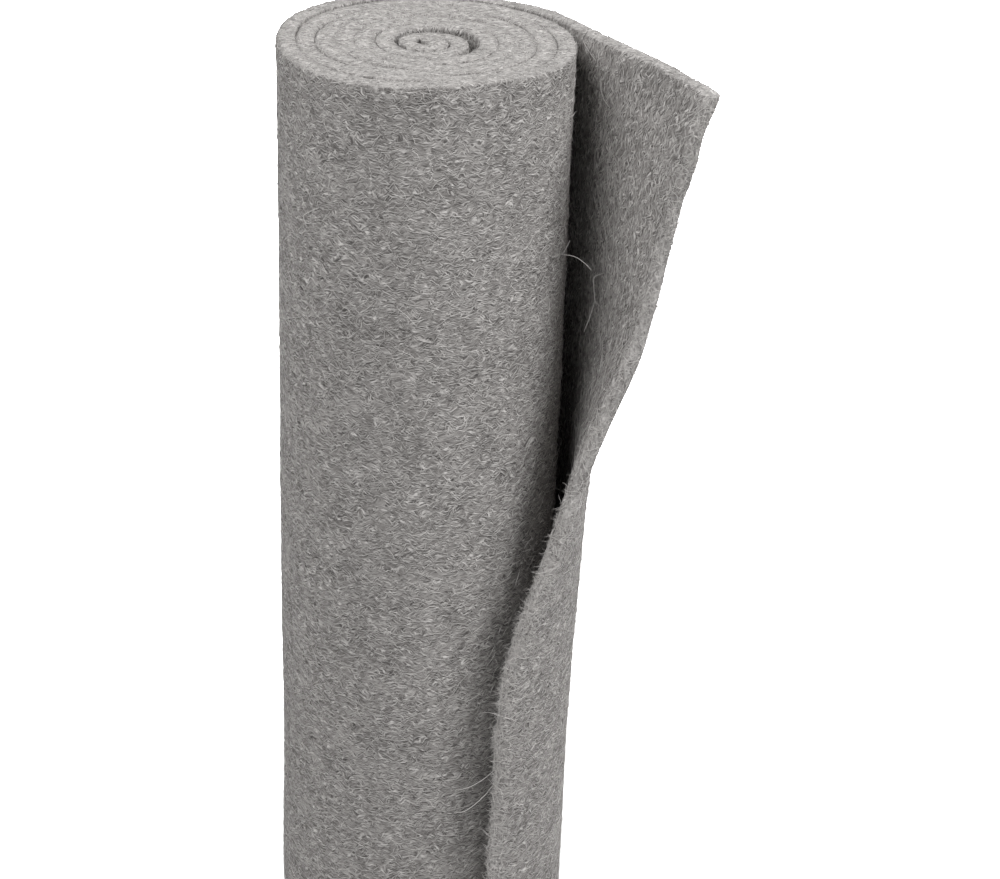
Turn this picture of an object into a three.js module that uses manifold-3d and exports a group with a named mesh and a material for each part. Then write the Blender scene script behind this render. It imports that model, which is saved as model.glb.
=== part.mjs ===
import * as THREE from 'three';
import { mergeVertices } from 'three/addons/utils/BufferGeometryUtils.js';
import Module from 'manifold-3d';

// One straight-cut length of thick felt, wound up and standing on end. The upper part of its free
// end has come away from the roll and stands out to the right and forward. Millimetres, with the
// roll's axis on +Z, its lower end on Z = 0 and the free end towards +X and -Y.

// The felt and how it is wound. A turn is counted from the free edge inwards, and seen from above
// the felt runs clockwise towards that edge.
const rollHeight = 500;
const feltThickness = 6.5;
const turnPitch = 7;
const outerRadius = 60;
const middleRadius = outerRadius - feltThickness / 2;
const edgeAngle = THREE.MathUtils.degToRad(-55);
const fullTurn = 2 * Math.PI;

// The lower end is wound a little tighter than the upper one.
const lowerScale = 0.96;
const tightBelow = 150;

// The innermost coil is squeezed flat, which leaves a crescent gap behind it. The radius is that
// of the middle of the felt. Outside this coil the turns follow the plain spiral.
const core = [
  { turn: 5.9, radius: 15.5 },
  { turn: 6.15, radius: 10.6 },
  { turn: 6.4, radius: 7.6 },
  { turn: 6.65, radius: 9.9 },
  { turn: 6.9, radius: 8.3 },
  { turn: 7.15, radius: 3.6 },
];

// How the last turn stands away from the roll, for each height up the felt. Slack is added to the
// radius of the last turn, loose is the length of felt that has come free, and bend is how far
// that length still curls round the roll, in degrees for each 100 mm. Below zero it curls away.
const peel = [
  { height: 0, slack: 0.7, loose: 80, bend: 104 },
  { height: 140, slack: 0.9, loose: 80, bend: 105 },
  { height: 210, slack: 1.2, loose: 75, bend: 104 },
  { height: 270, slack: 1.8, loose: 55, bend: 101 },
  { height: 330, slack: 2.9, loose: 50, bend: 52 },
  { height: 390, slack: 3.4, loose: 68, bend: 35 },
  { height: 450, slack: 3.0, loose: 63, bend: -20 },
  { height: 500, slack: 1.5, loose: 78, bend: -29 },
];
const peelBlend = 30;

// The cut edges are soft, so they are rounded by this much.
const softEdge = 0.9;
const softRise = 2;

// Steps of the model along the felt, round the roll and up its height.
const wrapLength = 232;
const wrapStep = 8;
const slitLength = 104;
const rollSteps = 31;
const heightStep = 25;

// The grooves between the turns in the two ends.
const grooveSteps = 24;
const grooveDepth = 3;
const grooveOvershoot = 1;

// A smooth curve through the rows of a table, with each row's slope taken from its neighbours.
function readTable(table, key, column, at) {
  const last = table.length - 1;
  let i = 0;
  while (i < last - 1 && at > table[i + 1][key]) i += 1;
  const slope = (j) => {
    const before = table[Math.max(j - 1, 0)];
    const after = table[Math.min(j + 1, last)];
    return (after[column] - before[column]) / (after[key] - before[key]);
  };
  const span = table[i + 1][key] - table[i][key];
  const t = (at - table[i][key]) / span;
  return (2 * t ** 3 - 3 * t ** 2 + 1) * table[i][column]
    + (t ** 3 - 2 * t ** 2 + t) * span * slope(i)
    + (3 * t ** 2 - 2 * t ** 3) * table[i + 1][column]
    + (t ** 3 - t ** 2) * span * slope(i + 1);
}

function windingScale(height) {
  const t = THREE.MathUtils.clamp((height - tightBelow) / (rollHeight - tightBelow), 0, 1);
  return THREE.MathUtils.lerp(lowerScale, 1, t);
}

// Radius of the middle of the felt, and its turn count at a length along the spiral.
function turnRadius(turn) {
  if (turn > core[0].turn) return readTable(core, 'turn', 'radius', turn);
  return middleRadius - turnPitch * turn;
}

function turnAtLength(length) {
  return (middleRadius - Math.sqrt(middleRadius ** 2 - turnPitch * length / Math.PI)) / turnPitch;
}

// The lengths from the free edge at which the last turn is worked out, from the roll outwards.
const lengths = [];
for (let length = wrapLength; length > 0; length -= wrapStep) lengths.push(length);
lengths.push(1.5, 0);

// The last turn at one height: points along the middle of the felt, each with its heading.
function lastTurn(height) {
  const scale = windingScale(height);
  const slack = readTable(peel, 'height', 'slack', height);
  const loose = readTable(peel, 'height', 'loose', height);
  const bend = THREE.MathUtils.degToRad(readTable(peel, 'height', 'bend', height)) / 100;
  const curlAt = (length) => {
    const wound = scale * turnRadius(turnAtLength(length / scale));
    const freed = THREE.MathUtils.smoothstep((loose - length) / peelBlend + 0.5, 0, 1);
    return THREE.MathUtils.lerp(1 / (wound + slack), bend, freed);
  };
  const startTurn = turnAtLength(wrapLength / scale);
  const startRadius = scale * turnRadius(startTurn);
  const startAngle = edgeAngle + fullTurn * startTurn;
  let x = startRadius * Math.cos(startAngle);
  let y = startRadius * Math.sin(startAngle);
  let heading = startAngle - Math.PI / 2 + scale * turnPitch / (fullTurn * startRadius);
  const points = [{ x, y, heading }];
  for (let i = 1; i < lengths.length; i += 1) {
    const step = lengths[i - 1] - lengths[i];
    const curl = curlAt((lengths[i - 1] + lengths[i]) / 2);
    const midway = heading - curl * step / 2;
    x += step * Math.cos(midway);
    y += step * Math.sin(midway);
    heading -= curl * step;
    points.push({ x, y, heading });
  }
  return points;
}

// A point off the middle of the felt: side is positive outwards, back is along the felt.
function offFelt(point, side, back = 0) {
  return {
    x: point.x - side * Math.sin(point.heading) - back * Math.cos(point.heading),
    y: point.y + side * Math.cos(point.heading) - back * Math.sin(point.heading),
  };
}

function polar(angle, radius, z) {
  return new THREE.Vector3(radius * Math.cos(angle), radius * Math.sin(angle), z);
}

// The roll's outline at one height, anticlockwise from the foot of the slit under the last turn.
// Its last-turn points sink as the felt leans out, because the felt doesn't stretch.
function rollOutline(height, points, levels, inset) {
  const scale = windingScale(height);
  const halfFelt = feltThickness / 2 - inset;
  const outline = [];
  const put = (point, z) => outline.push(new THREE.Vector3(point.x, point.y, z));
  const rollSurface = (turn) => scale * (outerRadius - turnPitch * turn) - inset;

  const slitFoot = lengths.indexOf(slitLength);
  const beyond = points[slitFoot - 1];
  const beyondFace = offFelt(beyond, -halfFelt);
  const beyondAngle = Math.atan2(beyondFace.y, beyondFace.x);
  const beyondTurn = 1 + (beyondAngle - edgeAngle) / fullTurn;
  const slitEnd = (Math.hypot(beyondFace.x, beyondFace.y) + rollSurface(beyondTurn)) / 2;
  outline.push(polar(beyondAngle, slitEnd, height));

  const edge = points.length - 1;
  for (let i = slitFoot; i < edge; i += 1) put(offFelt(points[i], -halfFelt), levels[i]);
  put(offFelt(points[edge], softEdge - halfFelt, inset), levels[edge]);
  put(offFelt(points[edge], halfFelt - softEdge, inset), levels[edge]);
  for (let i = edge - 1; i >= 0; i -= 1) put(offFelt(points[i], halfFelt), levels[i]);

  const fromTurn = turnAtLength(wrapLength / scale);
  const slitFace = offFelt(points[slitFoot], -halfFelt);
  const toTurn = 1 + (Math.atan2(slitFace.y, slitFace.x) - edgeAngle) / fullTurn;
  for (let i = 1; i <= rollSteps; i += 1) {
    const turn = THREE.MathUtils.lerp(fromTurn, toTurn, i / rollSteps);
    outline.push(polar(edgeAngle + fullTurn * turn, rollSurface(turn), height));
  }
  return outline;
}

// A closed skin over a row of matching outlines. The faces that close its two ends are given as
// triples of places in the first and the last outline.
function closedSkin(outlines, startFaces, endFaces) {
  const count = outlines[0].length;
  const last = (outlines.length - 1) * count;
  const index = [];
  for (let row = 0; row < last; row += count) {
    for (let i = 0; i < count; i += 1) {
      const a = row + i;
      const b = row + (i + 1) % count;
      index.push(a, b, b + count, a, b + count, a + count);
    }
  }
  for (const [a, b, c] of startFaces) index.push(a, c, b);
  for (const [a, b, c] of endFaces) index.push(last + a, last + b, last + c);
  const geometry = new THREE.BufferGeometry().setFromPoints(outlines.flat());
  geometry.setIndex(index);
  return geometry;
}

function endFace(outline) {
  return THREE.ShapeUtils.triangulateShape(outline.map((p) => new THREE.Vector2(p.x, p.y)), []);
}

// The wound body with its loose end, from the lower end up.
function rollBody() {
  const heights = [0, softRise];
  for (let height = heightStep; height < rollHeight; height += heightStep) heights.push(height);
  heights.push(rollHeight - softRise, rollHeight);
  let below = lastTurn(0);
  let levels = below.map(() => 0);
  const outlines = heights.map((height, row) => {
    const points = lastTurn(height);
    if (row > 0) {
      const rise = height - heights[row - 1];
      levels = points.map((p, i) => {
        const sideways = Math.hypot(p.x - below[i].x, p.y - below[i].y);
        return levels[i] + Math.sqrt(rise ** 2 - sideways ** 2);
      });
    }
    below = points;
    const inset = height === 0 || height === rollHeight ? softEdge : 0;
    return rollOutline(height, points, levels, inset);
  });
  return closedSkin(outlines, endFace(outlines[0]), endFace(outlines.at(-1)));
}

// The groove between two turns, as one long V from the slit to the core. It is a row of triangles,
// each across the groove, at the upper end (up = 1) or the lower end (up = -1).
function endGroove(up) {
  const height = up > 0 ? rollHeight : 0;
  const scale = windingScale(height);
  const triangles = [];
  const addStep = (angle, outer, inner) => {
    const gap = Math.max(outer - inner - feltThickness, 0);
    const middle = (outer + inner) / 2;
    const half = gap / 2 + softEdge;
    const brim = height + up * grooveOvershoot;
    const foot = height - up * (grooveDepth + gap);
    const corners = [
      polar(angle, middle + half, brim),
      polar(angle, middle, foot),
      polar(angle, middle - half, brim),
    ];
    triangles.push(up > 0 ? corners : corners.reverse());
  };
  const last = lastTurn(height);
  const slitFoot = lengths.indexOf(slitLength);
  for (let i = slitFoot; i > 0; i -= 1) {
    const angle = Math.atan2(last[i].y, last[i].x);
    if (angle < 0) break;
    const turn = 1 + (angle - edgeAngle) / fullTurn;
    addStep(angle, Math.hypot(last[i].x, last[i].y), scale * turnRadius(turn));
  }
  const firstTurn = turnAtLength(wrapLength / scale);
  const lastGroove = core.at(-1).turn - 1;
  const steps = Math.round((lastGroove - firstTurn) * grooveSteps);
  for (let i = 0; i <= steps; i += 1) {
    const turn = THREE.MathUtils.lerp(firstTurn, lastGroove, i / steps);
    const angle = edgeAngle + fullTurn * turn;
    addStep(angle, scale * turnRadius(turn), scale * turnRadius(turn + 1));
  }
  const across = [[0, 1, 2]];
  return closedSkin(triangles, across, across);
}

const wasm = await Module();
wasm.setup();

function toSolid(geometry) {
  const merged = mergeVertices(geometry, 1e-4);
  return new wasm.Manifold(new wasm.Mesh({
    numProp: 3,
    vertProperties: new Float32Array(merged.attributes.position.array),
    triVerts: new Uint32Array(merged.index.array),
  }));
}

function toGeometry(solid) {
  const mesh = solid.getMesh();
  const geometry = new THREE.BufferGeometry();
  geometry.setAttribute('position', new THREE.BufferAttribute(mesh.vertProperties, 3));
  geometry.setIndex(new THREE.BufferAttribute(mesh.triVerts, 1));
  geometry.computeVertexNormals();
  return geometry;
}

const body = toSolid(rollBody());
const grooved = body
  .subtract(toSolid(endGroove(1)))
  .subtract(toSolid(endGroove(-1)));

const feltGrey = new THREE.MeshStandardMaterial({ color: 0x8d8985, roughness: 0.95, metalness: 0 });
const felt = new THREE.Mesh(toGeometry(grooved), feltGrey);
felt.name = 'felt';

const group = new THREE.Group();
group.add(felt);

export default group;
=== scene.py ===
import math

import bpy
import numpy as np
from mathutils import Matrix, Vector


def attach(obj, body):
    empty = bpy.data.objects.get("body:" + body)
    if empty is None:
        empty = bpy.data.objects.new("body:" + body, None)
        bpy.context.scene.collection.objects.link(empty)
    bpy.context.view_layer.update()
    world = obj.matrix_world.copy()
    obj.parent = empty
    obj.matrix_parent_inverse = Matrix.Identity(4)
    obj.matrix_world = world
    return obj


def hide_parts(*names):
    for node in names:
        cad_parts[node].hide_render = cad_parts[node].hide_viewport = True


# A roll of thick grey felt standing on end, dressed over its plain solid. Metres, with the roll's
# axis on +Z, its lower end on Z = 0 and the loose end of the felt towards +X and -Y.

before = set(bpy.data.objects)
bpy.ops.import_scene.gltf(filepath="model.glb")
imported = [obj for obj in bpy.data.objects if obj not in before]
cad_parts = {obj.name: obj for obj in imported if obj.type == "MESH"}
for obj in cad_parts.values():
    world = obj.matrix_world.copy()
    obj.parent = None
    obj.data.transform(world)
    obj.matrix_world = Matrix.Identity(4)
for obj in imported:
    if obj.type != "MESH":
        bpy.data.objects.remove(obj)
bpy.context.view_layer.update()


# The view: a long lens about a metre off, looking down on the roll from its front. The
# photograph is a little askew, so the camera is turned about its own line of sight.
camera_place = Vector((0.02924, -1.02743, 0.83979))
look_down = math.radians(25.82)
askew = math.radians(1.87)

line_of_sight = Vector((0.0, math.cos(look_down), -math.sin(look_down)))
level_right = Vector((1.0, 0.0, 0.0))
level_up = Vector((0.0, math.sin(look_down), math.cos(look_down)))
picture_right = level_right * math.cos(askew) + level_up * math.sin(askew)
picture_up = level_up * math.cos(askew) - level_right * math.sin(askew)

camera_data = bpy.data.cameras.new("view")
camera_data.lens = 108.0
camera_data.sensor_width = 36.0
camera_data.clip_start = 0.05
camera_data.clip_end = 30.0
camera = bpy.data.objects.new("view", camera_data)
turn = Matrix((picture_right, picture_up, -line_of_sight)).transposed()
camera.matrix_world = Matrix.Translation(camera_place) @ turn.to_4x4()
bpy.context.collection.objects.link(camera)
bpy.context.scene.camera = camera


# The felt: one straight-cut length of matted grey wool, 0.5 m wide and 6.5 mm thick, wound up
# from its flattened inner end and stood on end. Nothing holds it, and the upper part of its free
# end stands away from the roll. Below tight_below it is wound tighter, by lower_scale.
roll_height = 0.5
mid_height = roll_height / 2
felt_thickness = 0.0065
turn_pitch = 0.007
roll_radius = 0.06
middle_radius = roll_radius - felt_thickness / 2
edge_angle = math.radians(-55.0)
full_turn = 2 * math.pi
lower_scale = 0.96
tight_below = 0.15

# The innermost coil, squeezed flat: turns from the free edge, and the radius of the felt's middle.
core = [
    {"turn": 5.90, "radius": 0.0155},
    {"turn": 6.15, "radius": 0.0106},
    {"turn": 6.40, "radius": 0.0076},
    {"turn": 6.65, "radius": 0.0099},
    {"turn": 6.90, "radius": 0.0083},
    {"turn": 7.15, "radius": 0.0036},
]
inner_end = [(0.0026, 0.0016), (-0.0035, 0.0010)]

# How the last turn stands away from the roll at each height. Slack is its play on the roll, and
# loose the length of felt that has come free. Bend is how far that length curls, in degrees for
# each metre, and ahead is how many degrees further round the felt lies, lower down.
peel = [
    {"height": 0.00, "slack": 0.0007, "loose": 0.080, "bend": 890.0, "ahead": 15.6},
    {"height": 0.14, "slack": 0.0009, "loose": 0.080, "bend": 895.0, "ahead": 15.8},
    {"height": 0.21, "slack": 0.0012, "loose": 0.075, "bend": 885.0, "ahead": 15.8},
    {"height": 0.27, "slack": 0.0018, "loose": 0.055, "bend": 815.0, "ahead": 13.4},
    {"height": 0.33, "slack": 0.0029, "loose": 0.050, "bend": 510.0, "ahead": 5.4},
    {"height": 0.39, "slack": 0.0034, "loose": 0.068, "bend": 350.0, "ahead": 1.2},
    {"height": 0.42, "slack": 0.0033, "loose": 0.065, "bend": 40.0, "ahead": 0.2},
    {"height": 0.45, "slack": 0.0030, "loose": 0.063, "bend": -255.0, "ahead": 0.0},
    {"height": 0.47, "slack": 0.0024, "loose": 0.069, "bend": -235.0, "ahead": 0.0},
    {"height": 0.488, "slack": 0.0019, "loose": 0.074, "bend": -232.0, "ahead": 0.0},
    {"height": 0.50, "slack": 0.0015, "loose": 0.078, "bend": -278.0, "ahead": 0.0},
]
peel_blend = 0.030

# The last turn is worked out every wrap_step over wrap_length, and the rest at wound_steps places.
# The first of those, in the core, are eased so that it has no kinks.
wrap_length = 0.232
wrap_step = 0.002
fine_steps = 1800
wound_steps = 470
eased_steps = 60
eased_times = 6
height_steps = 64
edge_round = 0.0008
edge_points = 9


def read_table(table, key, column, at):
    """A smooth curve through the rows of a table, with slopes from the neighbouring rows."""
    last = len(table) - 1
    i = 0
    while i < last - 1 and at > table[i + 1][key]:
        i += 1

    def slope(j):
        before, after = table[max(j - 1, 0)], table[min(j + 1, last)]
        return (after[column] - before[column]) / (after[key] - before[key])

    span = table[i + 1][key] - table[i][key]
    t = (at - table[i][key]) / span
    return (
        (2 * t**3 - 3 * t**2 + 1) * table[i][column]
        + (t**3 - 2 * t**2 + t) * span * slope(i)
        + (3 * t**2 - 2 * t**3) * table[i + 1][column]
        + (t**3 - t**2) * span * slope(i + 1)
    )


def smooth_step(t):
    t = min(max(t, 0.0), 1.0)
    return t * t * (3 - 2 * t)


def winding_scale(height):
    t = (height - tight_below) / (roll_height - tight_below)
    return lower_scale + (1 - lower_scale) * min(max(t, 0.0), 1.0)


def turn_radius(turns):
    if turns > core[0]["turn"]:
        return read_table(core, "turn", "radius", turns)
    return middle_radius - turn_pitch * turns


def turn_at_length(length):
    return (middle_radius - math.sqrt(middle_radius**2 - turn_pitch * length / math.pi)) / turn_pitch


def last_turn(height):
    """Middle of the last turn at one height, from its start on the roll out to the free edge."""
    scale = winding_scale(height)
    slack = read_table(peel, "height", "slack", height)
    loose = read_table(peel, "height", "loose", height)
    bend = math.radians(read_table(peel, "height", "bend", height))
    start_turn = turn_at_length(wrap_length / scale)
    start_radius = scale * turn_radius(start_turn)
    start_angle = edge_angle + full_turn * start_turn
    x, y = start_radius * math.cos(start_angle), start_radius * math.sin(start_angle)
    heading = start_angle - math.pi / 2 + scale * turn_pitch / (full_turn * start_radius)
    points = [(x, y)]
    length = wrap_length
    while length > wrap_step / 2:
        at = length - wrap_step / 2
        wound = scale * turn_radius(turn_at_length(at / scale))
        freed = smooth_step((loose - at) / peel_blend + 0.5)
        curl = (1 - freed) / (wound + slack) + freed * bend
        midway = heading - curl * wrap_step / 2
        x += wrap_step * math.cos(midway)
        y += wrap_step * math.sin(midway)
        heading -= curl * wrap_step
        points.append((x, y))
        length -= wrap_step
    return points


def wound_turns(height):
    """Middle of the wound turns at one height, from the inner end out to the last turn."""
    scale = winding_scale(height)
    start = turn_at_length(wrap_length / scale)
    turns = np.linspace(core[-1]["turn"], start, fine_steps)
    radii = scale * np.array([turn_radius(t) for t in turns])
    angles = edge_angle + full_turn * turns
    path = np.stack([radii * np.cos(angles), radii * np.sin(angles)], 1)
    tail = scale * np.array(inner_end[::-1])
    path = np.concatenate([tail, path])
    gone = np.concatenate([[0], np.cumsum(np.linalg.norm(np.diff(path, axis=0), axis=1))])
    at = np.linspace(0, gone[-1], wound_steps)
    path = np.stack([np.interp(at, gone, path[:, i]) for i in range(2)], 1)
    for _ in range(eased_times):
        eased = path.copy()
        eased[1:-1] = (path[:-2] + 2 * path[1:-1] + path[2:]) / 4
        path[:eased_steps] = eased[:eased_steps]
    return path[:-1]


def ripple(along, up, wave, seed):
    """Smooth uneven waves over the flat felt, mostly from -1 to 1, as a sum of seeded sines."""
    sines, usual_peak = 14, 5.5
    dice = np.random.default_rng(seed)
    total = np.zeros(np.broadcast(along, up).shape)
    for _ in range(sines):
        heading = dice.uniform(0, math.pi)
        pace = full_turn / (wave * dice.uniform(0.7, 1.6))
        phase = dice.uniform(0, full_turn)
        total += np.sin(pace * (along * math.cos(heading) + up * math.sin(heading)) + phase)
    return total / usual_peak


# The middle of the felt as a grid of heights by places along it. The felt doesn't stretch, so
# each row is only as far above the last one as the slope leaves.
heights = np.linspace(0, roll_height, height_steps + 1)
middle = np.array([np.concatenate([wound_turns(h), last_turn(h)]) for h in heights])
levels = np.zeros(middle.shape[:2])
for row in range(1, len(heights)):
    rise = heights[row] - heights[row - 1]
    sideways = np.linalg.norm(middle[row] - middle[row - 1], axis=1)
    levels[row] = levels[row - 1] + np.sqrt(rise**2 - sideways**2)
ahead = -np.radians([read_table(peel, "height", "ahead", h) for h in heights])[:, None]
middle = np.stack(
    [
        middle[..., 0] * np.cos(ahead) - middle[..., 1] * np.sin(ahead),
        middle[..., 0] * np.sin(ahead) + middle[..., 1] * np.cos(ahead),
    ],
    2,
)
steps_out = np.linalg.norm(np.diff(middle[-1], axis=0), axis=1)
along = np.concatenate([[0], np.cumsum(steps_out)])
from_edge = along[-1] - along
tangent = np.gradient(middle, axis=1)
tangent /= np.linalg.norm(tangent, axis=2, keepdims=True)
outward = np.stack([-tangent[..., 1], tangent[..., 0]], 2)

# One loop across the felt, for each place along it: up the outer face, over the rounded upper
# edge, down the inner face and round the lower edge. Its rows lie closer near the upper edge.
half = felt_thickness / 2
even_height = 0.484
side_heights = [edge_round + even_height * k / (height_steps - 4) for k in range(height_steps - 3)]
side_heights += [0.4905, 0.4950, roll_height - edge_round]
corner_shape = 0.75
loop = [(h, 1.0) for h in side_heights]
over = [math.pi * k / (edge_points + 1) for k in range(1, edge_points + 1)]
for a in over:
    side = math.copysign(abs(math.cos(a)) ** corner_shape, math.cos(a))
    loop.append((roll_height - edge_round * (1 - math.sin(a) ** corner_shape), side))
loop += [(h, -1.0) for h in reversed(side_heights)]
for a in over:
    side = -math.copysign(abs(math.cos(a)) ** corner_shape, math.cos(a))
    loop.append((edge_round * (1 - math.sin(a) ** corner_shape), side))
loop_height = np.array([h for h, _ in loop])
loop_side = np.array([s for _, s in loop])

row_at = loop_height / roll_height * height_steps
low_row = np.minimum(row_at.astype(int), height_steps - 1)
share = (row_at - low_row)[:, None]


def at_loop(grid):
    """The loop's values from a grid of heights by places along the felt."""
    wide = share if grid.ndim == 2 else share[..., None]
    return grid[low_row] * (1 - wide) + grid[low_row + 1] * wide


# The free edge and the inner end are rounded too, by a few places where the felt thins out. Swell
# makes the felt a little thicker and thinner, and wander moves both of its faces, so turns overlap
# in places by up to 0.4 mm. Near the upper end the felt is puffed up, less so in the core, to close
# the cracks between the turns. They overlap there by up to 0.9 mm.
rounded_end = 0.003
thinnest = 0.12
ends = np.minimum(along, from_edge)
thin = np.sqrt(np.clip(1 - (1 - np.minimum(ends / rounded_end, 1)) ** 2, thinnest, 1))
flat_along, flat_up = along[None, :], loop_height[:, None]
flat_side, flat_edge = loop_side[:, None], from_edge[None, :]
swell = 0.00022 * ripple(flat_along, flat_up, wave=0.045, seed=3)
wander = 0.00030 * ripple(flat_along, flat_up, wave=0.09, seed=4)
core_length = 0.20
matted = 0.00034 + 0.00016 * ripple(flat_along, 0 * flat_up, wave=0.024, seed=7)
matted = matted - 0.00016 * (flat_along < core_length)
puffed_above, puffed_fade, most_puffed = 0.488, 0.009, 0.00045
puffed = np.clip(matted, 0, most_puffed) * np.clip((flat_up - puffed_above) / puffed_fade, 0, 1)
offset = (half * thin[None, :] + swell + puffed) * flat_side + wander
place = np.zeros((len(loop), len(along), 3))
place[..., :2] = at_loop(middle) + at_loop(outward) * offset[..., None]

# The upper end isn't level. It is uneven all over, and the edges of the felt are less rounded
# where they touch the next turn. It stands higher at a shoulder on the left, in front and at the
# loose corner, and its outer rim sinks a little. Those four fade out down to settle_above.
on_top = np.clip((loop_height - (roll_height - edge_round)) / edge_round, 0, 1)[:, None]
uneven = 0.0006 * ripple(flat_along, 0 * flat_up, wave=0.05, seed=5)
uneven = uneven + 0.00025 * ripple(flat_along, 3 * flat_side * half, wave=0.009, seed=6)
touches_outside, touches_inside = flat_edge > 0.34, flat_edge > 0.12
touching = np.where(flat_side > 0, touches_outside, touches_inside)
filled = 0.6 * touching * (roll_height - loop_height)[:, None] * (on_top > 0)
shoulder_rise, front_rise, corner_rise, rim_sink = 0.0018, 0.0026, 0.0020, 0.0005
shoulder_at, shoulder_width = 0.205, 0.035
shoulder = shoulder_rise * np.exp(-(((flat_edge - shoulder_at) / shoulder_width) ** 2))
forward = np.clip((0.34 * place[..., 0] - 0.94 * place[..., 1]) / 0.055, 0, 1)
in_front = front_rise * forward**3 * np.clip((flat_edge - 0.08) / 0.05, 0, 1)
corner_length = 0.014
corner = corner_rise * np.clip(1 - flat_edge / corner_length, 0, 1)
outer_turn = 0.36
slump = rim_sink * np.clip(flat_side, 0, 1) ** 2 * (flat_edge < outer_turn)
settle_above = 0.470
settle = np.clip((loop_height[:, None] - settle_above) / (roll_height - settle_above), 0, 1)
raised = settle * (shoulder + in_front + corner - slump)
place[..., 2] = at_loop(levels) + on_top * uneven + filled + raised
place[..., 2] = np.maximum(place[..., 2], 0)

# The cut along the free edge is a little ragged.
ragged = 0.0009 * ripple(flat_up, 0 * flat_along, wave=0.026, seed=8)
ragged = ragged + 0.0004 * ripple(flat_up, half * flat_side, wave=0.016, seed=9)
ragged_reach = 0.010
place[..., :2] += at_loop(tangent) * (ragged * np.clip(1 - from_edge / ragged_reach, 0, 1))[..., None]

# The loops are joined into walls. Their UV map is the flat felt: along it, and round each loop.
count, across = len(along), len(loop)
vertex = np.arange(across * count).reshape(across, count)
above = np.roll(vertex, -1, axis=0)
walls = np.stack([vertex[:, :-1], above[:, :-1], above[:, 1:], vertex[:, 1:]], -1).reshape(-1, 4)
round_loop = np.hypot(np.diff(loop_height, append=edge_round), np.diff(loop_side, append=1) * half)
loop_way = np.concatenate([[0], np.cumsum(round_loop)])
low_way, high_way = np.meshgrid(loop_way[:-1], along, indexing="ij")
top_way = np.repeat(loop_way[1:, None], count, 1)
wall_map = np.stack(
    [
        np.stack([high_way[:, :-1], low_way[:, :-1]], -1),
        np.stack([high_way[:, :-1], top_way[:, :-1]], -1),
        np.stack([high_way[:, 1:], top_way[:, 1:]], -1),
        np.stack([high_way[:, 1:], low_way[:, 1:]], -1),
    ],
    2,
).reshape(-1, 2)
faces = walls.tolist()
face_map = [wall_map]

# The two cut edges that run up the felt are closed by strips between its outer and inner face.
mirror = 2 * height_steps + edge_points - 1
lowest = across - 1 - edge_points // 2
strip = [(lowest + n) % across for n in range(across // 2 + 1)]
for end in (0, count - 1):
    for a, b in zip(strip, strip[1:]):
        corners = [a, b]
        corners += [c for c in ((mirror - b) % across, (mirror - a) % across) if c not in corners]
        if end == 0:
            corners.reverse()
        faces.append([int(vertex[c, end]) for c in corners])
        beside = along[end] + half * (1 - loop_side[corners])
        face_map.append(np.stack([beside, loop_height[corners]], 1))

felt_mesh = bpy.data.meshes.new("felt_roll")
felt_mesh.from_pydata(place.reshape(-1, 3).tolist(), [], faces)
felt_mesh.polygons.foreach_set("use_smooth", [True] * len(felt_mesh.polygons))
cloth_map = felt_mesh.uv_layers.new(name="cloth")
cloth_map.uv.foreach_set("vector", np.concatenate(face_map).astype(np.float32).ravel())


def keep_on_felt(name, values):
    """Stores numbers or directions for each point of the felt, for its finish and its hairs."""
    kind = "FLOAT" if values.ndim == 2 else "FLOAT_VECTOR"
    layer = felt_mesh.attributes.new(name, kind, "POINT")
    values = np.broadcast_to(values, place.shape[: 3 if values.ndim == 3 else 2])
    layer.data.foreach_set("value" if kind == "FLOAT" else "vector", values.astype(np.float32).ravel())


# Which way the felt runs, how far each point lies on its inner side or a cut end, and how
# thickly the nap grows: on the outer face, inside the loose end, on the upper end, along the
# outer rim, and along the free edge, where it stands in tufts.
run = np.gradient(place, axis=1)
run /= np.linalg.norm(run, axis=2, keepdims=True)
inner_side = np.clip(0.5 - 0.5 * loop_side, 0, 1)[:, None] + 0 * flat_along
cut_end = np.clip(1 - np.abs(loop_side), 0, 1)[:, None] ** 0.5 + 0 * flat_along
edge_reach = 0.004
free_edge = np.clip(1 - from_edge / edge_reach, 0, 1)[None, :] + 0 * flat_up
near_top = np.clip((loop_height[:, None] - (roll_height - edge_reach)) / edge_reach, 0, 1)
flat_face = 0.95
seen_length, flap_length, flap_above = 0.44, 0.11, 0.24
in_sight = (flat_side > flat_face) * np.clip((seen_length - flat_edge) / 0.05, 0, 1)
under = (flat_side < -flat_face) * (flat_edge < flap_length) * (flat_up > flap_above)
keep_on_felt("run", run)
keep_on_felt("inner_side", inner_side)
keep_on_felt("cut_end", np.maximum(cut_end, 0.6 * free_edge))
keep_on_felt("outer_high", in_sight * (flat_up > mid_height))
keep_on_felt("outer_low", in_sight * (flat_up <= mid_height))
keep_on_felt("under_flap", under.astype(float))
keep_on_felt("deep_in_flap", (under * (flat_up < even_height)).astype(float))
keep_on_felt("upper_end", cut_end * (flat_up > mid_height))
rim = near_top * (flat_side > 0.3) * (flat_edge < outer_turn)
tufted = np.clip(0.7 + 1.2 * ripple(flat_up, 0 * flat_along, wave=0.014, seed=10), 0.15, 2.2)
for tuft_at, thick in ((0.293, 3.0), (0.268, 2.0), (0.247, 3.0), (0.239, 2.5), (0.318, 2.0)):
    tufted = tufted + thick * np.exp(-(((flat_up - tuft_at) / edge_reach) ** 2))
keep_on_felt("edges", rim)
keep_on_felt("free_edge", free_edge * tufted * (flat_up > edge_reach))


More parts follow.
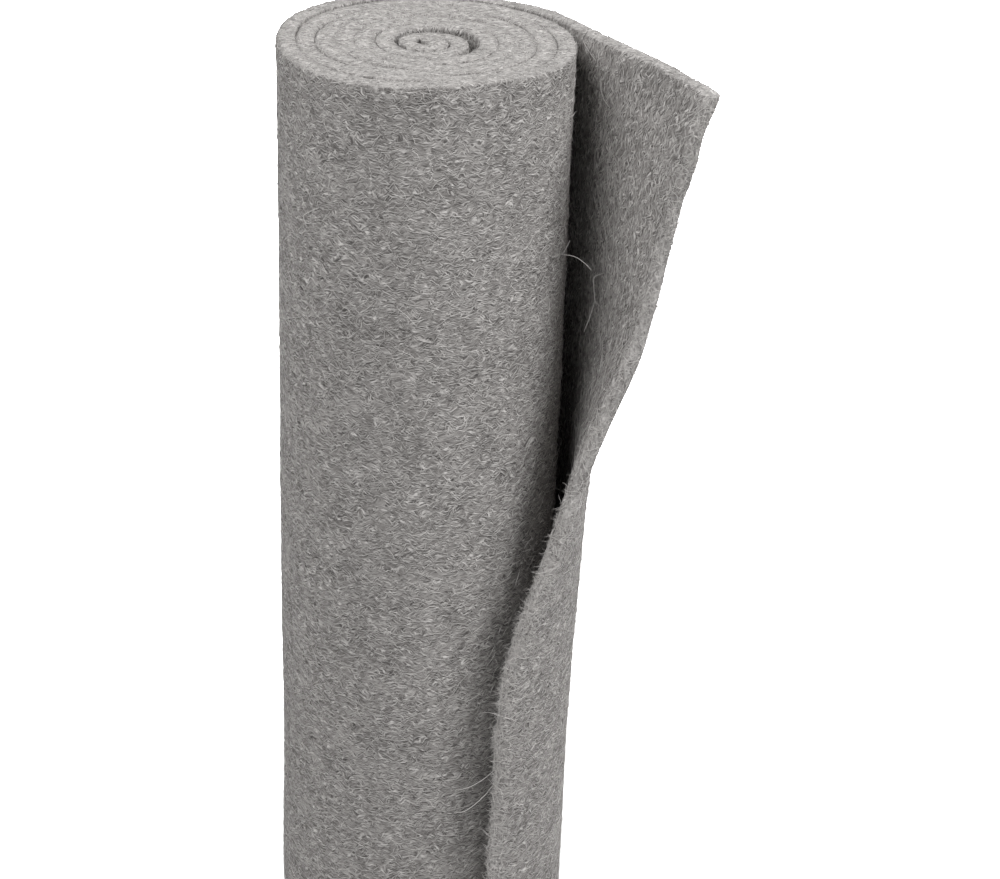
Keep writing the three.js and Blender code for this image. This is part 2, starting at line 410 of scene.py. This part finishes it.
def put(tree, kind, inputs=(), **settings):
    """Adds a node with its settings, and gives or joins its inputs by name or number."""
    node = tree.nodes.new(kind)
    for name, value in settings.items():
        setattr(node, name, value)
    for name, value in dict(inputs).items():
        if isinstance(value, bpy.types.NodeSocket):
            tree.links.new(value, node.inputs[name])
        else:
            node.inputs[name].default_value = value
    return node


def calculate(tree, operation, *values):
    node = put(tree, "ShaderNodeMath", enumerate(values), operation=operation)
    return node.outputs[0]


def vector_step(tree, operation, *values):
    node = put(tree, "ShaderNodeVectorMath", enumerate(values), operation=operation)
    return node.outputs[0]


def vector_scale(tree, vector, by):
    node = put(tree, "ShaderNodeVectorMath", {0: vector, "Scale": by}, operation="SCALE")
    return node.outputs[0]


# Matted hairs: thin wavy lines that lie mostly one way, pale ones over dark gaps, whose darkness is
# painted shade between the hairs. The group gives masks and a height, and each finish of the felt has its
# own length and width of hair.
hairs = bpy.data.node_groups.new("matted_hairs", "ShaderNodeTree")
hairs.interface.new_socket("Place", in_out="INPUT", socket_type="NodeSocketVector")
for name in ("Length", "Width"):
    hairs.interface.new_socket(name, in_out="INPUT", socket_type="NodeSocketFloat")
for name in ("Pale", "Dark", "Height"):
    hairs.interface.new_socket(name, in_out="OUTPUT", socket_type="NodeSocketFloat")
given = put(hairs, "NodeGroupInput")
bent = given.outputs["Place"]
for pace, reach in ((170.0, 0.0045), (700.0, 0.0008)):
    sway = put(hairs, "ShaderNodeTexNoise", {"Vector": bent, "Scale": pace, "Detail": 1.0})
    sway = vector_step(hairs, "SUBTRACT", sway.outputs["Color"], (0.5, 0.5, 0.5))
    bent = vector_step(hairs, "ADD", bent, vector_scale(hairs, sway, reach))
along_pace = calculate(hairs, "DIVIDE", 1.0, given.outputs["Length"])
cross_pace = calculate(hairs, "DIVIDE", 1.0, given.outputs["Width"])
pace = put(hairs, "ShaderNodeCombineXYZ", {0: along_pace, 1: cross_pace, 2: 1.0})
pale, dark = 0.0, 0.0
for slant, start, strength in (
    (-0.70, 0.0, 0.85),
    (-0.28, 0.31, 1.0),
    (0.06, 0.57, 1.0),
    (0.38, 0.73, 0.95),
    (0.95, 0.17, 0.75),
):
    turned = put(
        hairs,
        "ShaderNodeMapping",
        {"Vector": bent, "Location": (start, start, 0.0), "Rotation": (0.0, 0.0, slant)},
    )
    spread = vector_step(hairs, "MULTIPLY", turned.outputs[0], pace.outputs[0])
    cloud = put(hairs, "ShaderNodeTexNoise", {"Vector": spread, "Scale": 1.0, "Detail": 0.0})
    fade = put(hairs, "ShaderNodeTexNoise", {"Vector": turned.outputs[0], "Scale": 420.0, "Detail": 1.0})
    fade = put(
        hairs,
        "ShaderNodeMapRange",
        {
            "Value": fade.outputs[0],
            "From Min": 0.40,
            "From Max": 0.66,
            "To Min": 0.15,
            "To Max": 1.25 * strength,
        },
    ).outputs[0]
    laid = []
    for so_far, first, last in ((pale, 0.56, 0.72), (dark, 0.44, 0.28)):
        strand = put(
            hairs,
            "ShaderNodeMapRange",
            {"Value": cloud.outputs[0], "From Min": first, "From Max": last, "To Max": fade},
            interpolation_type="SMOOTHSTEP",
        )
        laid.append(calculate(hairs, "MAXIMUM", so_far, strand.outputs[0]))
    pale, dark = laid
dark = calculate(hairs, "MULTIPLY", dark, calculate(hairs, "SUBTRACT", 1.0, pale))
height = calculate(hairs, "SUBTRACT", pale, dark)
put(hairs, "NodeGroupOutput", {"Pale": pale, "Dark": dark, "Height": height})

# The felt's finish. Hairs lie along the felt on its outer face and across it on its inner face,
# and the cut ends are paler and more broken, partly from their own broken fibres and partly as painted
# light from above. Slow clouds make it uneven, as matted wool is.
felt_finish = bpy.data.materials.new("felt")
felt_finish.use_nodes = True
tree = felt_finish.node_tree
shader = tree.nodes["Principled BSDF"]
flat_place = put(tree, "ShaderNodeUVMap", uv_map="cloth").outputs[0]
solid_place = put(tree, "ShaderNodeTexCoord").outputs["Object"]
inner = put(tree, "ShaderNodeAttribute", attribute_name="inner_side").outputs["Fac"]
cut = put(tree, "ShaderNodeAttribute", attribute_name="cut_end").outputs["Fac"]
upright = put(tree, "ShaderNodeMapping", {"Vector": flat_place, "Rotation": (0.0, 0.0, 1.45)}).outputs[0]


def use_hairs(place_on, length, width):
    node = put(tree, "ShaderNodeGroup", node_tree=hairs)
    tree.links.new(place_on, node.inputs["Place"])
    node.inputs["Length"].default_value = length
    node.inputs["Width"].default_value = width
    return node.outputs


def blend_by(amount, first, second):
    return put(tree, "ShaderNodeMix", {"Factor": amount, "A": first, "B": second}).outputs[0]


outside = use_hairs(flat_place, 0.0038, 0.00042)
inside = use_hairs(upright, 0.0042, 0.00046)
broken = use_hairs(solid_place, 0.0024, 0.00064)
masks = {}
for name in ("Pale", "Dark", "Height"):
    faces_mask = blend_by(inner, outside[name], inside[name])
    masks[name] = blend_by(cut, faces_mask, broken[name])
cloud_wide = put(tree, "ShaderNodeTexNoise", {"Vector": flat_place, "Scale": 70.0, "Detail": 3.0})
cloud_fine = put(tree, "ShaderNodeTexNoise", {"Vector": solid_place, "Scale": 420.0, "Detail": 2.0})
fine_share = calculate(tree, "MULTIPLY", cloud_fine.outputs[0], 0.4)
unevenness = calculate(tree, "MULTIPLY_ADD", cloud_wide.outputs[0], 0.6, fine_share)
ground = put(tree, "ShaderNodeValToRGB", {"Fac": unevenness})
ground.color_ramp.elements[0].position = 0.36
ground.color_ramp.elements[0].color = (0.185, 0.175, 0.168, 1.0)
ground.color_ramp.elements[1].position = 0.64
ground.color_ramp.elements[1].color = (0.350, 0.333, 0.322, 1.0)
# The cut ends, and the free edge less strongly, are mixed towards a pale tone and get fewer dark gaps:
# partly the broken fibres' own tone, partly painted light from above.
cut_pale_and_top_light = calculate(tree, "MULTIPLY", cut, 0.62)
pale_share = calculate(tree, "MULTIPLY", masks["Pale"], 0.72)
# The dark tone laid into the gaps between the hairs is painted shade.
dark_strength = calculate(tree, "MULTIPLY_ADD", cut, -0.20, 0.80)
painted_gap_shade = calculate(tree, "MULTIPLY", masks["Dark"], dark_strength)
colour = ground.outputs[0]
for amount, tone in (
    (cut_pale_and_top_light, (0.480, 0.463, 0.450, 1.0)),
    (pale_share, (0.700, 0.678, 0.660, 1.0)),
    (painted_gap_shade, (0.080, 0.075, 0.072, 1.0)),
):
    step = put(tree, "ShaderNodeMix", data_type="RGBA")
    tree.links.new(amount, step.inputs["Factor"])
    tree.links.new(colour, step.inputs[6])
    step.inputs[7].default_value = tone
    colour = step.outputs[2]
tree.links.new(colour, shader.inputs["Base Color"])
relief = put(tree, "ShaderNodeBump", {"Strength": 0.55, "Distance": 0.0005, "Height": masks["Height"]})
tree.links.new(relief.outputs[0], shader.inputs["Normal"])
shader.inputs["Roughness"].default_value = 0.95
shader.inputs["Specular IOR Level"].default_value = 0.2

felt_mesh.materials.append(felt_finish)
felt_roll = bpy.data.objects.new("felt_roll", felt_mesh)
bpy.context.collection.objects.link(felt_roll)
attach(felt_roll, "root")
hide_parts("felt")


# The nap: hairs of the same grey wool, each caught in the felt by its middle. They lie on its
# faces and stand off its cut edges. Each is a thin closed strand, curled at random.
hair_finish = bpy.data.materials.new("felt_hair")
hair_finish.use_nodes = True
tree = hair_finish.node_tree
shader = tree.nodes["Principled BSDF"]
shade = put(tree, "ShaderNodeAttribute", attribute_name="shade").outputs["Fac"]
wool = put(tree, "ShaderNodeValToRGB", {"Fac": shade})
wool.color_ramp.elements[0].position = 0.0
wool.color_ramp.elements[0].color = (0.120, 0.113, 0.108, 1.0)
wool.color_ramp.elements[1].position = 1.0
wool.color_ramp.elements[1].color = (0.680, 0.660, 0.640, 1.0)
wool.color_ramp.elements.new(0.30).color = (0.330, 0.316, 0.305, 1.0)
tree.links.new(wool.outputs[0], shader.inputs["Base Color"])
shader.inputs["Roughness"].default_value = 0.8
shader.inputs["Specular IOR Level"].default_value = 0.3

nap = bpy.data.node_groups.new("nap", "GeometryNodeTree")
nap.interface.new_socket("Felt", in_out="INPUT", socket_type="NodeSocketGeometry")
for name, kind in (
    ("Where", "NodeSocketString"),
    ("Across", "NodeSocketBool"),
    ("Density", "NodeSocketFloat"),
    ("Length", "NodeSocketFloat"),
    ("Thickness", "NodeSocketFloat"),
    ("Curl", "NodeSocketFloat"),
    ("Lift", "NodeSocketFloat"),
    ("Spread", "NodeSocketFloat"),
    ("Paleness", "NodeSocketFloat"),
    ("Seed", "NodeSocketInt"),
    ("Finish", "NodeSocketMaterial"),
):
    nap.interface.new_socket(name, in_out="INPUT", socket_type=kind)
nap.interface.new_socket("Hairs", in_out="OUTPUT", socket_type="NodeSocketGeometry")
given = put(nap, "NodeGroupInput").outputs


def chance(low, high, step, kind="FLOAT"):
    """A random number or vector for each hair, from its own step of the seed."""
    node = put(nap, "FunctionNodeRandomValue", data_type=kind)
    first = 0 if kind == "FLOAT_VECTOR" else 2
    node.inputs[first].default_value = low
    node.inputs[first + 1].default_value = high
    nap.links.new(calculate(nap, "ADD", given["Seed"], step), node.inputs["Seed"])
    return node.outputs[0 if kind == "FLOAT_VECTOR" else 1]


weight = put(nap, "GeometryNodeInputNamedAttribute", {"Name": given["Where"]}, data_type="FLOAT")
density = calculate(nap, "MULTIPLY", weight.outputs[0], given["Density"])
roots = put(
    nap,
    "GeometryNodeDistributePointsOnFaces",
    {"Mesh": given["Felt"], "Density": density, "Seed": given["Seed"]},
)


def recall(name):
    node = put(nap, "GeometryNodeInputNamedAttribute", {"Name": name}, data_type="FLOAT_VECTOR")
    return node.outputs[0]


run_way = recall("run")
cross_way = vector_step(nap, "CROSS_PRODUCT", roots.outputs["Normal"], run_way)
way = put(
    nap,
    "GeometryNodeSwitch",
    {"Switch": given["Across"], "False": run_way, "True": cross_way},
    input_type="VECTOR",
)
standing = put(nap, "FunctionNodeAlignRotationToVector", {"Vector": roots.outputs["Normal"]}, axis="Z")
lying = put(
    nap,
    "FunctionNodeAlignRotationToVector",
    {"Rotation": standing.outputs[0], "Vector": way.outputs[0]},
    axis="X",
    pivot_axis="Z",
)
swing = calculate(nap, "MULTIPLY", chance(-1.0, 1.0, 1), given["Spread"])
either_way = calculate(nap, "MULTIPLY", calculate(nap, "ROUND", chance(0.0, 1.0, 2)), math.pi)
swing = calculate(nap, "ADD", swing, either_way)
mostly_flat = calculate(nap, "POWER", chance(0.0, 1.0, 3), 2.0)
tilt = calculate(nap, "MULTIPLY", mostly_flat, calculate(nap, "MULTIPLY", given["Lift"], -1.0))
turned = lying.outputs[0]
for axis, angle in (((0.0, 0.0, 1.0), swing), ((0.0, 1.0, 0.0), tilt)):
    about = put(nap, "FunctionNodeAxisAngleToRotation", {"Axis": axis, "Angle": angle})
    turned = put(
        nap,
        "FunctionNodeRotateRotation",
        {"Rotation": turned, "Rotate By": about.outputs[0]},
        rotation_space="LOCAL",
    ).outputs[0]


def remember(geometry, name, value, kind):
    node = put(nap, "GeometryNodeStoreNamedAttribute", {"Geometry": geometry, "Name": name}, data_type=kind)
    nap.links.new(value, node.inputs["Value"])
    return node.outputs[0]


darkest = calculate(nap, "SUBTRACT", 1.0, given["Paleness"])
darker = calculate(nap, "MULTIPLY", chance(0.0, 1.0, 4), darkest)
points = remember(roots.outputs["Points"], "shade", calculate(nap, "SUBTRACT", 1.0, darker), "FLOAT")
points = remember(points, "strand", chance((0, 0, 0), (90, 90, 90), 5, "FLOAT_VECTOR"), "FLOAT_VECTOR")
points = remember(points, "off", roots.outputs["Normal"], "FLOAT_VECTOR")
strand_points = 5
line = put(nap, "GeometryNodeCurvePrimitiveLine", {"Start": (-0.5, 0, 0), "End": (0.5, 0, 0)})
line = put(nap, "GeometryNodeResampleCurve", {"Curve": line.outputs[0], "Count": strand_points})
long = calculate(nap, "MULTIPLY", chance(0.45, 1.35, 6), given["Length"])
planted = put(
    nap,
    "GeometryNodeInstanceOnPoints",
    {"Points": points, "Instance": line.outputs[0], "Rotation": turned, "Scale": long},
)
strands = put(nap, "GeometryNodeRealizeInstances", {"Geometry": planted.outputs[0]}).outputs[0]
strand, off = recall("strand"), recall("off")
here = put(nap, "GeometryNodeInputPosition").outputs[0]
wave_pace = (170.0, 170.0, 170.0)
there = vector_step(nap, "MULTIPLY_ADD", here, wave_pace, strand)
waves = put(nap, "ShaderNodeTexNoise", {"Vector": there, "Scale": 1.0, "Detail": 1.0})
waves = vector_step(nap, "SUBTRACT", waves.outputs["Color"], (0.5, 0.5, 0.5))
outwards = put(nap, "ShaderNodeVectorMath", {0: waves, 1: off}, operation="DOT_PRODUCT").outputs["Value"]
outwards = vector_scale(nap, off, calculate(nap, "MULTIPLY", outwards, 0.75))
waves = vector_scale(nap, vector_step(nap, "SUBTRACT", waves, outwards), given["Curl"])
strands = put(nap, "GeometryNodeSetPosition", {"Geometry": strands, "Offset": waves}).outputs[0]
part_way = put(nap, "GeometryNodeSplineParameter").outputs["Factor"]
from_root = calculate(nap, "ABSOLUTE", calculate(nap, "SUBTRACT", part_way, 0.5))
tapered = calculate(nap, "MULTIPLY", calculate(nap, "POWER", from_root, 2.0), 3.2)
slim = calculate(nap, "MULTIPLY", calculate(nap, "SUBTRACT", 1.0, tapered), given["Thickness"])
ring = put(nap, "GeometryNodeCurvePrimitiveCircle", {"Resolution": 3, "Radius": 0.5}).outputs[0]
body = put(
    nap,
    "GeometryNodeCurveToMesh",
    {"Curve": strands, "Profile Curve": ring, "Scale": slim, "Fill Caps": True},
)
apart = put(nap, "ShaderNodeSeparateXYZ", {0: here})
above_floor = calculate(nap, "MAXIMUM", apart.outputs[2], 0.0002)
kept_up = put(nap, "ShaderNodeCombineXYZ", {0: apart.outputs[0], 1: apart.outputs[1], 2: above_floor})
body = put(nap, "GeometryNodeSetPosition", {"Geometry": body.outputs[0], "Position": kept_up.outputs[0]})
dressed = put(nap, "GeometryNodeSetMaterial", {"Geometry": body.outputs[0], "Material": given["Finish"]})
put(nap, "NodeGroupOutput", {"Hairs": dressed.outputs[0]})
sockets = {item.name: item.identifier for item in nap.interface.items_tree}

# Where names the numbers kept on the felt, and density is hairs for each square metre. Lift is how
# far a hair may tilt out of the felt, and spread how far it may swing from the way the nap lies,
# both in radians. Paleness is from 0, where shades are mixed, to 1, where all hairs are pale.
naps = [
    {"name": "nap_outer_high", "where": "outer_high", "across": False, "density": 64000, "length": 0.0066,
     "thickness": 0.00024, "curl": 0.0052, "lift": 0.25, "spread": 1.10, "paleness": 0.45, "seed": 11},
    {"name": "nap_outer_low", "where": "outer_low", "across": False, "density": 62000, "length": 0.0070,
     "thickness": 0.00022, "curl": 0.0034, "lift": 0.20, "spread": 0.55, "paleness": 0.32, "seed": 12},
    {"name": "nap_under_flap", "where": "under_flap", "across": True, "density": 110000, "length": 0.0090,
     "thickness": 0.00019, "curl": 0.0036, "lift": 0.22, "spread": 0.60, "paleness": 0.0, "seed": 13},
    # The upper end's hairs are kept paler, partly as painted light from above.
    {"name": "nap_upper_end", "where": "upper_end", "across": False, "density": 620000, "length": 0.0036,
     "thickness": 0.00017, "curl": 0.0032, "lift": 0.60, "spread": 1.60, "paleness": 0.50, "seed": 14},
    {"name": "nap_edges", "where": "edges", "across": False, "density": 300000, "length": 0.0050,
     "thickness": 0.00013, "curl": 0.0042, "lift": 1.10, "spread": 1.60, "paleness": 0.40, "seed": 15},
    {"name": "nap_free_edge", "where": "free_edge", "across": False, "density": 900000, "length": 0.0056,
     "thickness": 0.00022, "curl": 0.0075, "lift": 1.30, "spread": 1.20, "paleness": 0.65, "seed": 16},
    {"name": "nap_long_flap", "where": "deep_in_flap", "across": True, "density": 4500, "length": 0.0200,
     "thickness": 0.00020, "curl": 0.0090, "lift": 0.14, "spread": 0.45, "paleness": 0.85, "seed": 19},
    {"name": "nap_long_high", "where": "outer_high", "across": False, "density": 3000, "length": 0.0180,
     "thickness": 0.00020, "curl": 0.0080, "lift": 0.16, "spread": 0.80, "paleness": 0.85, "seed": 17},
    {"name": "nap_long_low", "where": "outer_low", "across": False, "density": 3000, "length": 0.0180,
     "thickness": 0.00020, "curl": 0.0080, "lift": 0.16, "spread": 0.80, "paleness": 0.85, "seed": 18},
]
for row in naps:
    carrier = bpy.data.objects.new("carrier", felt_mesh)
    bpy.context.collection.objects.link(carrier)
    growth = carrier.modifiers.new("nap", "NODES")
    growth.node_group = nap
    for column, value in row.items():
        if column != "name":
            growth[sockets[column.title()]] = float(value) if column == "density" else value
    growth[sockets["Finish"]] = hair_finish
    grown = carrier.evaluated_get(bpy.context.evaluated_depsgraph_get())
    hair_mesh = bpy.data.meshes.new_from_object(grown)
    hair_mesh.name = row["name"]
    carrier.modifiers.remove(growth)
    bpy.data.objects.remove(carrier)
    piece = bpy.data.objects.new(row["name"], hair_mesh)
    bpy.context.collection.objects.link(piece)
    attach(piece, "root")

# Long pale hairs that have worked loose: over the gap, on the free edge and on the left of the
# roll. Each is a line of points in millimetres, swept with a thin square section and closed. The
# points weren't chosen by hand: a scratch script cast rays through places picked in the photo onto
# an earlier state of the felt, and only some of them were moved afterwards.
loose_hairs = [
    [(49.2, -17.4, 426.3), (52.5, -17.5, 426.4), (55.4, -17.8, 425.5), (58.7, -18.8, 423.3),
     (60.3, -19.5, 421.7)],
    [(65.5, -4.9, 414.6), (61.6, -4.6, 412.8), (62.2, -5.4, 407.4), (62.7, -5.6, 403.1),
     (64.7, -4.2, 400.9)],
    [(62.6, -5.0, 403.0), (60.7, -7.0, 396.3), (59.0, -8.0, 392.0)],
    [(52.3, -14.0, 430.8), (51.1, -15.2, 428.3), (49.6, -16.1, 425.8)],
    [(31.9, -51.0, 222.1), (28.2, -51.4, 216.1), (23.7, -51.6, 211.1), (20.0, -51.5, 208.0),
     (16.2, -51.6, 207.8)],
    [(32.1, -50.8, 228.0), (27.2, -50.9, 222.6), (22.0, -51.0, 219.0), (17.5, -51.2, 217.6)],
    [(54.2, 17.1, 497.7), (55.4, 15.3, 495.3), (57.3, 12.5, 493.3), (59.5, 9.1, 491.5)],
    [(61.1, 6.4, 485.3), (61.6, 5.4, 481.8), (62.8, 3.3, 478.8), (65.0, -0.4, 477.1)],
    [(-54.9, -10.0, 427.1), (-54.4, -10.7, 425.4), (-52.5, -16.0, 424.3)],
    [(-37.4, -39.8, 450.5), (-41.2, -36.2, 447.2), (-43.4, -34.9, 445.2), (-42.4, -35.4, 442.6),
     (-40.1, -37.3, 443.4), (-40.5, -37.0, 446.6)],
]
hair_radius = 0.00013
points_between = 6
unlike_any_hair = (0.35, 0.80, 0.48)
hair_points, hair_faces = [], []
for waypoints in loose_hairs:
    bends = np.array(waypoints) / 1000
    stations = np.linspace(0, len(bends) - 1, points_between * (len(bends) - 1) + 1)
    line = np.stack([np.interp(stations, range(len(bends)), bends[:, i]) for i in range(3)], 1)
    for _ in range(3):
        line[1:-1] = (line[:-2] + 2 * line[1:-1] + line[2:]) / 4
    way = np.gradient(line, axis=0)
    way /= np.linalg.norm(way, axis=1, keepdims=True)
    aside = np.cross(way, unlike_any_hair)
    aside /= np.linalg.norm(aside, axis=1, keepdims=True)
    third = np.cross(way, aside)
    start = len(hair_points)
    for k, point in enumerate(line):
        width = hair_radius * (0.35 + 0.65 * math.sin(math.pi * (k + 0.5) / len(line)) ** 0.5)
        for a in (0.0, full_turn / 4, full_turn / 2, full_turn * 3 / 4):
            hair_points.append(point + width * (aside[k] * math.cos(a) + third[k] * math.sin(a)))
    for k in range(len(line) - 1):
        for i in range(4):
            low, side = start + 4 * k, (i + 1) % 4
            hair_faces.append((low + i, low + side, low + 4 + side, low + 4 + i))
    hair_faces.append(tuple(start + i for i in (3, 2, 1, 0)))
    hair_faces.append(tuple(start + 4 * (len(line) - 1) + i for i in range(4)))
loose_mesh = bpy.data.meshes.new("loose_hairs")
loose_mesh.from_pydata([tuple(p) for p in hair_points], [], hair_faces)
loose_shade = loose_mesh.attributes.new("shade", "FLOAT", "POINT")
loose_shade.data.foreach_set("value", [0.95] * len(hair_points))
loose_mesh.materials.append(hair_finish)
loose = bpy.data.objects.new("loose_hairs", loose_mesh)
bpy.context.collection.objects.link(loose)
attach(loose, "root")


# The studio: a plain pale floor that runs out of sight, a broad soft light from the left and
# front, and a second one from the right side that the loose end shades.
floor_mesh = bpy.data.meshes.new("floor")
floor_mesh.from_pydata([(-9, -9, 0), (9, -9, 0), (9, 9, 0), (-9, 9, 0)], [], [(0, 1, 2, 3)])
floor_finish = bpy.data.materials.new("floor")
floor_finish.use_nodes = True
floor_shader = floor_finish.node_tree.nodes["Principled BSDF"]
floor_shader.inputs["Base Color"].default_value = (0.55, 0.55, 0.55, 1.0)
floor_shader.inputs["Roughness"].default_value = 0.9
floor_mesh.materials.append(floor_finish)
floor = bpy.data.objects.new("floor", floor_mesh)
bpy.context.collection.objects.link(floor)

# Azimuth is counted from straight ahead towards the right, and elevation is above the floor.
lamps = [
    {"name": "left_front", "azimuth": -38, "elevation": 48, "distance": 2.4, "size": 1.4, "power": 41.0},
    {"name": "right_side", "azimuth": 76, "elevation": 45, "distance": 2.4, "size": 1.2, "power": 49.0},
]
aim = Vector((0.01, 0.0, 0.32))
for row in lamps:
    azimuth, elevation = math.radians(row["azimuth"]), math.radians(row["elevation"])
    towards = Vector(
        (
            math.sin(azimuth) * math.cos(elevation),
            -math.cos(azimuth) * math.cos(elevation),
            math.sin(elevation),
        )
    )
    lamp_data = bpy.data.lights.new(row["name"], "AREA")
    lamp_data.shape = "DISK"
    lamp_data.size = row["size"]
    lamp_data.energy = row["power"]
    lamp = bpy.data.objects.new(row["name"], lamp_data)
    lamp.location = aim + towards * row["distance"]
    lamp.rotation_mode = "QUATERNION"
    lamp.rotation_quaternion = (-towards).to_track_quat("-Z", "Y")
    bpy.context.collection.objects.link(lamp)

# A third light hangs over the floor behind the roll, shaded so that only the floor is lit.
lamp_data = bpy.data.lights.new("floor_behind", "AREA")
lamp_data.shape = "DISK"
lamp_data.size = 0.5
lamp_data.spread = math.radians(88.0)
lamp_data.energy = 90.0
lamp = bpy.data.objects.new("floor_behind", lamp_data)
lamp.location = (0.0, 1.45, 1.55)
bpy.context.collection.objects.link(lamp)

world = bpy.data.worlds.new("studio")
world.use_nodes = True
world.node_tree.nodes["Background"].inputs["Color"].default_value = (1.0, 1.0, 1.0, 1.0)
world.node_tree.nodes["Background"].inputs["Strength"].default_value = 0.17
bpy.context.scene.world = world
bpy.context.scene.view_settings.view_transform = "Standard"
